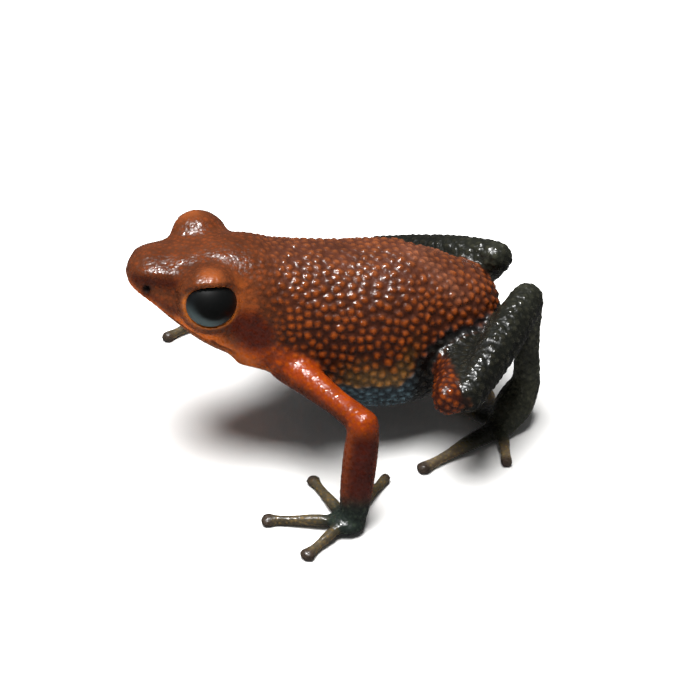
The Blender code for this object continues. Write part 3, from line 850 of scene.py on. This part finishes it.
def skin_material(settings):
    """Moist frog skin: sharp sparks on the granules, which are paler and glossier than the valleys between them."""
    material, tree, shader = new_material("moist_granular_frog_skin")
    place = add_node(tree, "ShaderNodeTexCoord").outputs["Object"]
    granule = add_node(tree, "ShaderNodeAttribute", attribute_name="granule").outputs["Fac"]
    valley = add_node(tree, "ShaderNodeAttribute", attribute_name="valley_colour").outputs["Color"]
    top = add_node(tree, "ShaderNodeAttribute", attribute_name="granule_colour").outputs["Color"]
    raised = add_node(
        tree,
        "ShaderNodeMapRange",
        {"Value": granule, "From Min": 0.05, "From Max": 0.95},
        interpolation_type="SMOOTHSTEP",
    )
    colour = add_node(tree, "ShaderNodeMix", {0: raised.outputs["Result"], 6: valley, 7: top}, data_type="RGBA")
    mottle = add_node(tree, "ShaderNodeTexNoise", {"Vector": place, "Scale": BLOTCHES_PER_MM / MM, "Detail": 5.0})
    brightness = add_node(
        tree,
        "ShaderNodeMapRange",
        {"Value": mottle.outputs["Fac"], "From Min": 0.3, "From Max": 0.7, "To Min": 0.7, "To Max": 1.25},
    )
    varied = add_node(
        tree, "ShaderNodeHueSaturation", {"Color": colour.outputs[2], "Value": brightness.outputs["Result"]}
    )
    gloss = add_node(
        tree,
        "ShaderNodeMapRange",
        {"Value": granule, "From Min": 0.1, "From Max": 0.8, "To Min": 0.36, "To Max": 0.12},
    )
    pores = add_node(tree, "ShaderNodeTexVoronoi", {"Vector": place, "Scale": 1 / settings.pore_size})
    wrinkles = add_node(tree, "ShaderNodeTexNoise", {"Vector": place, "Scale": WRINKLES_PER_MM / MM, "Detail": 2.0})
    fine = add_node(
        tree,
        "ShaderNodeBump",
        {"Height": pores.outputs["Distance"], "Strength": 0.8, "Distance": PORE_DEPTH_SHARE * settings.pore_size},
        invert=True,
    )
    bump = add_node(
        tree,
        "ShaderNodeBump",
        {
            "Height": wrinkles.outputs["Fac"],
            "Strength": 0.8,
            "Distance": WRINKLE_DEPTH * MM,
            "Normal": fine.outputs["Normal"],
        },
    )
    tree.links.new(varied.outputs["Color"], shader.inputs["Base Color"])
    tree.links.new(gloss.outputs["Result"], shader.inputs["Roughness"])
    tree.links.new(bump.outputs["Normal"], shader.inputs["Normal"])
    shader.inputs["IOR"].default_value = 1.38
    return material


def eye_material(colours):
    """Wet eye: a wide black pupil in a dark grey-green iris, painted paler downwards for the light from the floor
    below, and a clear coat that mirrors.
    """
    material, tree, shader = new_material("wet_frog_eye")
    pupil = add_node(tree, "ShaderNodeAttribute", attribute_name="pupil").outputs["Fac"]
    lower = add_node(tree, "ShaderNodeAttribute", attribute_name="lower").outputs["Fac"]
    iris = add_node(
        tree, "ShaderNodeMix", {0: lower, 6: (*colours.iris_top, 1), 7: (*colours.iris, 1)}, data_type="RGBA"
    )
    colour = add_node(
        tree, "ShaderNodeMix", {0: pupil, 6: iris.outputs[2], 7: (*colours.pupil, 1)}, data_type="RGBA"
    )
    tree.links.new(colour.outputs[2], shader.inputs["Base Color"])
    shader.inputs["Roughness"].default_value = 0.5
    shader.inputs["Specular IOR Level"].default_value = 0.2
    shader.inputs["Coat Weight"].default_value = 0.35
    shader.inputs["Coat Roughness"].default_value = 0.04
    return material


def finished_object(name, mesh, material, node_names):
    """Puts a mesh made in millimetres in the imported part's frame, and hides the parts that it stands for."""
    surface = Surface(mesh)
    surface.points = (surface.points + shift()) * MM
    surface.write()
    mesh.name = name
    mesh.materials.clear()
    mesh.materials.append(material)
    mesh.shade_smooth()
    made = bpy.data.objects.new(name, mesh)
    bpy.context.scene.collection.objects.link(made)
    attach(made, "root")
    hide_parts(*node_names)


def colour(name, description, hex_colour):
    """A colour that can be picked in the panel."""
    return FloatVectorProperty(
        name=name, description=description, default=linear(hex_colour), subtype="COLOR", size=3, min=0, max=1
    )


class FrogColours(bpy.types.PropertyGroup):
    """Colours of the skin's zones, between the granules and on them, and of the eyes."""

    back: colour("Flank", "Flank, between the granules", "#361609")
    back_granule: colour("Flank granules", "Granules of the flank", "#8a3f11")
    ridge: colour("Back", "Back, between the granules", "#4d281a")
    ridge_granule: colour("Back granules", "Granules of the back", "#784224")
    low_flank: colour("Low flank", "Low on the flank, between the granules", "#50391a")
    low_flank_granule: colour("Low flank granules", "Granules low on the flank", "#8e6030")
    crown: colour("Head", "Head, between its fine granules", "#502813")
    crown_granule: colour("Head granules", "Fine granules of the head", "#6c341a")
    belly: colour("Belly", "Belly, between the granules", "#1e282e")
    belly_granule: colour("Belly granules", "Granules of the belly", "#4c6068")
    # Painted shade: the rump's colours are the belly's skin painted near black for the shadow of the thighs
    rump: colour("Rump", "Low on the rump and the rear of the flank, between the granules", "#100e0c")
    rump_granule: colour("Rump granules", "Granules low on the rump and the rear of the flank", "#25211c")
    # Painted highlight: the paler colours of the ridge over the pelvis
    pelvis: colour("Pelvis", "Ridge over the pelvis, between the granules", "#643b2b")
    pelvis_granule: colour("Pelvis granules", "Granules of the ridge over the pelvis", "#8e5a42")
    throat: colour("Throat", "Throat and lower jaw", "#7a3d10")
    shoulder: colour("Shoulder", "From the corner of the mouth to the arm", "#7c2f08")
    shoulder_granule: colour("Shoulder granules", "Granules above the arm", "#9a400a")
    eardrum: colour("Eardrum", "Smooth skin round the eardrum", "#4a1707")
    cheek: colour("Behind the eye", "Behind and above the eye", "#a0501f")
    # Painted shade: the dark band under the ridge from nostril to eye
    shade_under_ridge: colour("Under the ridge", "Under the ridge from nostril to eye", "#3a1408")
    lip: colour("Lip", "Upper lip", "#a84c0c")
    jaw_edge: colour("Jaw edge", "Edge of the jaw under the eye, back to the arm", "#b8580f")
    lip_line: colour("Above the lip", "Stripe above the upper lip", "#4d2213")
    # Partly the brow's own orange skin, partly a painted highlight
    brow: colour("Brow", "Over the eye", "#88461f")
    lid_rim: colour("Lid rim", "Front and lower rim of the lids", "#a85a20")
    upper_arm: colour("Upper arm", "Upper arm", "#7c2c06")
    upper_arm_granule: colour("Upper arm granules", "Fine granules of the upper arm", "#8e3c08")
    # Partly the arm's own darker skin, partly painted shade on its lower front side
    dark_and_shaded_under_arm: colour("Under the arm", "Front and underside of the upper arm", "#522008")
    forearm: colour("Forearm", "Sides of the forearm", "#64290c")
    forearm_front: colour("Forearm front", "Outer face of the forearm", "#3c130a")
    hand: colour("Hand", "Wrist and hand", "#19201c")
    hand_granule: colour("Hand granules", "Fine granules of the hand", "#282f27")
    leg: colour("Leg", "Hind leg, between the granules", "#10110d")
    leg_granule: colour("Leg granules", "Granules of the hind leg", "#24231c")
    # Partly the shank's own olive skin, partly painted light on its upward side
    heel: colour("Heel", "Top of the shank towards the heel, between the granules", "#191a14")
    heel_granule: colour("Heel granules", "Granules on top of the shank towards the heel", "#2e2e25")
    finger: colour("Finger", "Fingers", "#453d2e")
    finger_granule: colour("Finger specks", "Specks of the fingers", "#75603c")
    sole: colour("Foot", "Tarsus and foot, between the granules", "#26271f")
    sole_granule: colour("Foot granules", "Granules of the tarsus and foot", "#3c3c31")
    toe: colour("Toe", "Toes towards their ends", "#665845")
    toe_granule: colour("Toe specks", "Specks of the toes", "#a08a62")
    disc: colour("Disc", "Ends of the fingers and toes", "#3a3028")
    knee: colour("Knee", "Front of the thigh and knee, between the granules", "#33130a")
    knee_granule: colour("Knee granules", "Granules on the front of the thigh and knee", "#7a3812")
    # Painted shade: nostrils and the line of the mouth are painted near black for the shade inside them
    dark: colour("Folds", "Nostrils and the line of the mouth", "#080302")
    pupil: colour("Pupil", "Pupil of the eye", "#050606")
    iris_top: colour("Iris above", "Upper part of the iris", "#0d1012")
    # Painted light: the iris's lower part is paler for the light from the floor below
    iris: colour("Iris below", "Lower part of the iris", "#48585a")


class FrogSettings(bpy.types.PropertyGroup):
    """Sizes of the skin's mesh and pores, and the start of its random places."""

    mesh_size: FloatProperty(
        name="Mesh size",
        description="Length of an edge of the skin's mesh",
        default=0.108 * MM,
        precision=6,
        unit="LENGTH",
    )
    pore_size: FloatProperty(
        name="Pore size",
        description="Distance between the finest bumps of the skin",
        default=0.17 * MM,
        precision=6,
        unit="LENGTH",
    )
    seed: IntProperty(name="Seed", description="Start of the random places of the granules", default=11)
    colours: PointerProperty(type=FrogColours)


class FROG_OT_skin(bpy.types.Operator):
    """Makes the one skin that covers all the flesh"""

    bl_idname = "frog.skin"
    bl_label = "Skin"

    def execute(self, context):
        settings = context.scene.frog
        size = settings.mesh_size / MM
        flesh = model_flesh()
        work = self.mesh_object(context, "skin_work", flesh)
        apply_modifier(work, "REMESH", mode="VOXEL", voxel_size=size, adaptivity=0.0)
        for side in SIDES:
            self.open_lids(context, work, side)
        apply_modifier(work, "REMESH", mode="VOXEL", voxel_size=size, adaptivity=0.0)
        surface = Surface(work.data)
        surface.relax(RELAX_ROUNDS)
        surface.write()
        owner, kind, place = label_points(surface, flesh)
        soften_joins(surface, owner, kind)
        thin_lids(surface)
        shape_body(surface)
        spacing, height = granule_sizes(surface, kind)
        profile, tone = raise_granules(surface, spacing, height, settings.seed)
        low, high = (np.array(corner) / MM - shift() for corner in CAD_BOX)
        surface.points = np.clip(surface.points, low, high)
        surface.write()
        self.colour_zones(surface, settings.colours, zone_masks(surface, kind, place, tone))
        least, spread = PALE_SHARE
        surface.store("granule", profile * (least + spread * tone))
        nodes = [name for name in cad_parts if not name.startswith("eye_")]
        finished_object("frog_skin", work.data, skin_material(settings), nodes)
        bpy.data.objects.remove(work)
        return {"FINISHED"}

    def mesh_object(self, context, name, flesh):
        mesh = bpy.data.meshes.new(name)
        flesh.bm.to_mesh(mesh)
        flesh.bm.free()
        made = bpy.data.objects.new(name, mesh)
        context.scene.collection.objects.link(made)
        return made

    def open_lids(self, context, work, side):
        """Hollows the lid on one side so that the eye shows."""
        axes = eye_axes(side)
        bm, place, _ = sphere_grid(96, 64)
        offsets = np.array([v.co for v in bm.verts]) * LID_BOWL
        offsets = offsets / bowl_reach(offsets)[:, None]
        bowl = Flesh()
        points = np.array(EYES[side]) + axes[0] * LID_BOWL_PLACE + offsets @ np.array(axes)
        bowl.add("lid_bowl", bm, points, place)
        cutter = self.mesh_object(context, "lid_bowl", bowl)
        apply_modifier(work, "BOOLEAN", object=cutter, operation="DIFFERENCE", solver="MANIFOLD")
        bpy.data.objects.remove(cutter)

    def colour_zones(self, surface, colours, masks):
        """Gives each point its colour between the granules and on them, zone over zone."""
        count = len(surface.points)
        valley = np.tile(np.array(colours.back), (count, 1))
        granule = np.tile(np.array(colours.back_granule), (count, 1))
        for zone, mask in masks.items():
            soft = np.clip(surface.blur(mask.astype(float), 2), 0, 1)[:, None]
            between = getattr(colours, zone)
            on = getattr(colours, zone + "_granule", between)
            valley = valley + soft * (np.array(between) - valley)
            granule = granule + soft * (np.array(on) - granule)
        surface.store_colour("valley_colour", valley)
        surface.store_colour("granule_colour", granule)


class FROG_OT_eyes(bpy.types.Operator):
    """Makes the two wet eyes"""

    bl_idname = "frog.eyes"
    bl_label = "Eyes"

    def execute(self, context):
        material = eye_material(context.scene.frog.colours)
        for side in SIDES:
            bm = bmesh.new()
            bmesh.ops.create_uvsphere(bm, u_segments=96, v_segments=64, radius=EYE_RADIUS)
            mesh = bpy.data.meshes.new(f"eye_ball_{side}")
            bm.to_mesh(mesh)
            bm.free()
            surface = Surface(mesh)
            gaze, level, rise = eye_axes(side)
            ahead, above = surface.points @ level / EYE_RADIUS, surface.points @ rise / EYE_RADIUS
            front = smooth(surface.points @ gaze, 0, 0.2)
            pupil = np.hypot(PUPIL_STRETCH * (ahead - PUPIL_AHEAD), above - PUPIL_ABOVE)
            surface.store("pupil", (1 - smooth(pupil, *PUPIL_EDGE)) * front)
            # Painted light: the iris is paler towards its lower front for the light from the floor below
            surface.store("lower", smooth(0.45 * ahead - above, 0.0, 0.85))
            surface.points = surface.points + np.array(EYES[side])
            surface.write()
            finished_object(f"eye_ball_{side}", mesh, material, [f"eye_{side}"])
        return {"FINISHED"}


class FROG_OT_stage(bpy.types.Operator):
    """Makes the pale floor, the lights and the camera"""

    bl_idname = "frog.stage"
    bl_label = "Stage"

    def execute(self, context):
        scene = context.scene
        self.floor(scene)
        self.camera(scene)
        soft = self.light(scene, "soft_key", *SOFT_LAMP)
        soft.visible_glossy = False
        spark = self.light(scene, "gloss", *SPARK_LAMP)
        spark.visible_diffuse = False
        world = bpy.data.worlds.new("studio")
        world.use_nodes = True
        background = world.node_tree.nodes["Background"]
        background.inputs["Color"].default_value = (1, 1, 1, 1)
        background.inputs["Strength"].default_value = ROOM_LIGHT
        scene.world = world
        scene.view_settings.view_transform = "Standard"
        return {"FINISHED"}

    def floor(self, scene):
        """Matt white studio paper, which takes soft shadows and shows no shine."""
        bm = bmesh.new()
        bmesh.ops.create_grid(bm, x_segments=1, y_segments=1, size=FLOOR_HALF_WIDTH)
        mesh = bpy.data.meshes.new("floor")
        bm.to_mesh(mesh)
        bm.free()
        material, _, shader = new_material("white_studio_paper")
        shader.inputs["Base Color"].default_value = (*linear("#f4f3f1"), 1)
        shader.inputs["Roughness"].default_value = 0.8
        mesh.materials.append(material)
        floor = bpy.data.objects.new("floor", mesh)
        floor.visible_glossy = False
        scene.collection.objects.link(floor)

    def camera(self, scene):
        """The photograph's camera."""
        target = (np.array(CAMERA_TARGET) + shift()) * MM
        turn, above = math.radians(CAMERA_ROUND), math.radians(CAMERA_ABOVE)
        back = Vector((math.sin(turn) * math.cos(above), -math.cos(turn) * math.cos(above), math.sin(above)))
        data = bpy.data.cameras.new("camera")
        data.sensor_width = SENSOR_WIDTH
        data.lens = SENSOR_WIDTH * PIXELS_PER_MM * CAMERA_DISTANCE / PICTURE_WIDTH
        data.clip_start, data.clip_end = CAMERA_CLIP
        camera = bpy.data.objects.new("camera", data)
        camera.location = Vector(target) + back * CAMERA_DISTANCE * MM
        camera.rotation_euler = (-back).to_track_quat("-Z", "Y").to_euler()
        scene.collection.objects.link(camera)
        scene.camera = camera

    def light(self, scene, name, place, size, power):
        """A round lamp that faces the frog."""
        data = bpy.data.lights.new(name, "AREA")
        data.shape = "DISK"
        data.size = size
        data.energy = power
        lamp = bpy.data.objects.new(name, data)
        lamp.location = place
        lamp.rotation_euler = Vector(place).to_track_quat("Z", "Y").to_euler()
        scene.collection.objects.link(lamp)
        return lamp


class FROG_PT_model(bpy.types.Panel):
    """Lists the pieces of the frog"""

    bl_label = "Granular poison frog"
    bl_idname = "FROG_PT_model"
    bl_space_type = "VIEW_3D"
    bl_region_type = "UI"
    bl_category = "Frog"

    def draw(self, context):
        settings = context.scene.frog
        for name in ("mesh_size", "pore_size", "seed"):
            self.layout.prop(settings, name)
        for name in FrogColours.__annotations__:
            self.layout.prop(settings.colours, name)
        for operator in (FROG_OT_skin, FROG_OT_eyes, FROG_OT_stage):
            self.layout.operator(operator.bl_idname)


CLASSES = (FrogColours, FrogSettings, FROG_OT_skin, FROG_OT_eyes, FROG_OT_stage, FROG_PT_model)


def register():
    for each in CLASSES:
        bpy.utils.register_class(each)
    bpy.types.Scene.frog = PointerProperty(type=FrogSettings)


def unregister():
    del bpy.types.Scene.frog
    for each in reversed(CLASSES):
        bpy.utils.unregister_class(each)


def main():
    register()
    bpy.ops.frog.skin()
    bpy.ops.frog.eyes()
    bpy.ops.frog.stage()


if __name__ == "__main__":
    main()
